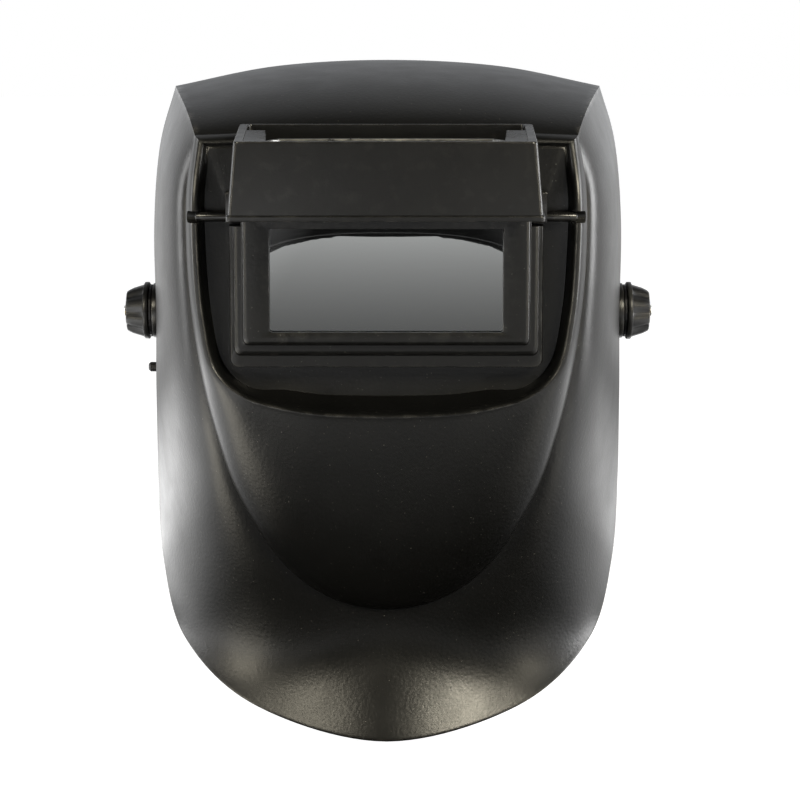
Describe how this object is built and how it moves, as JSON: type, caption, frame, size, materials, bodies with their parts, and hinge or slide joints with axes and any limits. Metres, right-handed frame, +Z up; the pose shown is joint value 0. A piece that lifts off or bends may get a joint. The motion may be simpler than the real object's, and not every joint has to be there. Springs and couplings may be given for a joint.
{
  "type": "welding helmet",
  "caption": "Black passive welding helmet: grained shell with a flip-up lens holder raised above a fixed clear window, side tension knobs and a ratchet headgear.",
  "frame": {"origin": "middle of the axis through the two side pivots, which is where the wearer's head is", "axes": "+X is the wearer's left, -Y is the front, +Z is up with the helmet lowered"},
  "size_m": [0.262, 0.3004, 0.3072],
  "materials": {
    "shell": "fine leather-grained injection-moulded black, semi-matte",
    "holder": "smooth moulded black, satin",
    "knob": "moulded black, satin",
    "headgear_plastic": "moulded nylon, satin",
    "gasket": "matt black",
    "clear_lens": "clear, polished",
    "filter_lens": "very dark green, polished",
    "steel": "zinc plated",
    "insert": "turned",
    "fibre": "pressed fibre",
    "padding": "soft brushed cloth over foam"
  },
  "bodies": {
    "headgear": {"headband": "headgear_plastic", "sweatband": "padding", "crown_strap_left": "headgear_plastic", "crown_strap_right": "headgear_plastic", "crown_strap_pin": "headgear_plastic", "crown_rivet_left": "headgear_plastic", "crown_rivet_right": "headgear_plastic", "pivot_bracket_left": "headgear_plastic", "pivot_bracket_right": "headgear_plastic", "bracket_rivet_left_1": "steel", "bracket_rivet_left_2": "steel", "bracket_rivet_right_1": "steel", "bracket_rivet_right_2": "steel", "pivot_stud_left": "steel", "pivot_stud_right": "steel", "friction_washer_left": "fibre", "friction_washer_right": "fibre", "ratchet_housing": "headgear_plastic", "ratchet_cover": "headgear_plastic", "nape_pad": "padding"},
    "shell": {"helmet_shell": "shell", "clear_cover_lens": "clear_lens", "lens_gasket": "gasket", "lens_retainer": "holder", "lens_spring_left": "steel", "lens_spring_right": "steel", "tilt_stop_arm": "headgear_plastic"},
    "flip_front": {"flip_holder": "holder", "flip_gasket": "gasket", "shade_lens": "filter_lens", "flip_cover_lens": "clear_lens", "flip_lens_spring": "steel"},
    "washer_left": {"outer_washer_left": "steel"},
    "washer_right": {"outer_washer_right": "steel"},
    "knob_left": {"tension_knob_left": "knob", "knob_insert_left": "insert"},
    "knob_right": {"tension_knob_right": "knob", "knob_insert_right": "insert"},
    "ratchet_drive": {"ratchet_knob": "knob", "ratchet_pinion": "headgear_plastic", "ratchet_screw": "steel"},
    "rack_left": {"rack_left": "headgear_plastic"},
    "rack_right": {"rack_right": "headgear_plastic"}
  },
  "joints": [
    {"name": "helmet_tilt", "type": "hinge", "parent": "headgear", "child": "shell", "pos_m": [0, 0, 0], "axis": [-1, 0, 0], "range_deg": [0, 70]},
    {"name": "flip_close", "type": "hinge", "parent": "shell", "child": "flip_front", "pos_m": [0, -0.128, 0.0541], "axis": [1, 0, 0], "range_deg": [0, 84]},
    {"name": "washer_left_slide", "type": "slide", "parent": "headgear", "child": "washer_left", "axis": [-1, 0, 0], "range_m": [0, 0.0021]},
    {"name": "washer_right_slide", "type": "slide", "parent": "headgear", "child": "washer_right", "axis": [1, 0, 0], "range_m": [0, 0.0021]},
    {"name": "knob_left_turn", "type": "hinge", "parent": "washer_left", "child": "knob_left", "pos_m": [-0.12, 0, 0], "axis": [-1, 0, 0], "range_deg": [0, 720]},
    {"name": "knob_right_turn", "type": "hinge", "parent": "washer_right", "child": "knob_right", "pos_m": [0.12, 0, 0], "axis": [1, 0, 0], "range_deg": [0, 720]},
    {"name": "ratchet_turn", "type": "hinge", "parent": "headgear", "child": "ratchet_drive", "pos_m": [0, 0.09526, -0.049], "axis": [0, 0.866, -0.5], "range_deg": [-110, 80]},
    {"name": "rack_left_slide", "type": "slide", "parent": "headgear", "child": "rack_left", "axis": [-1, 0, 0], "range_m": [-0.0136, 0.0099]},
    {"name": "rack_right_slide", "type": "slide", "parent": "headgear", "child": "rack_right", "axis": [1, 0, 0], "range_m": [-0.0136, 0.0099]}
  ],
  "couplings": [
    {"joint": "washer_left_slide", "follows": "knob_left_turn", "m_per_rad": 0.00015915},
    {"joint": "washer_right_slide", "follows": "knob_right_turn", "m_per_rad": 0.00015915},
    {"joint": "rack_left_slide", "follows": "ratchet_turn", "m_per_rad": 0.007},
    {"joint": "rack_right_slide", "follows": "ratchet_turn", "m_per_rad": 0.007}
  ]
}
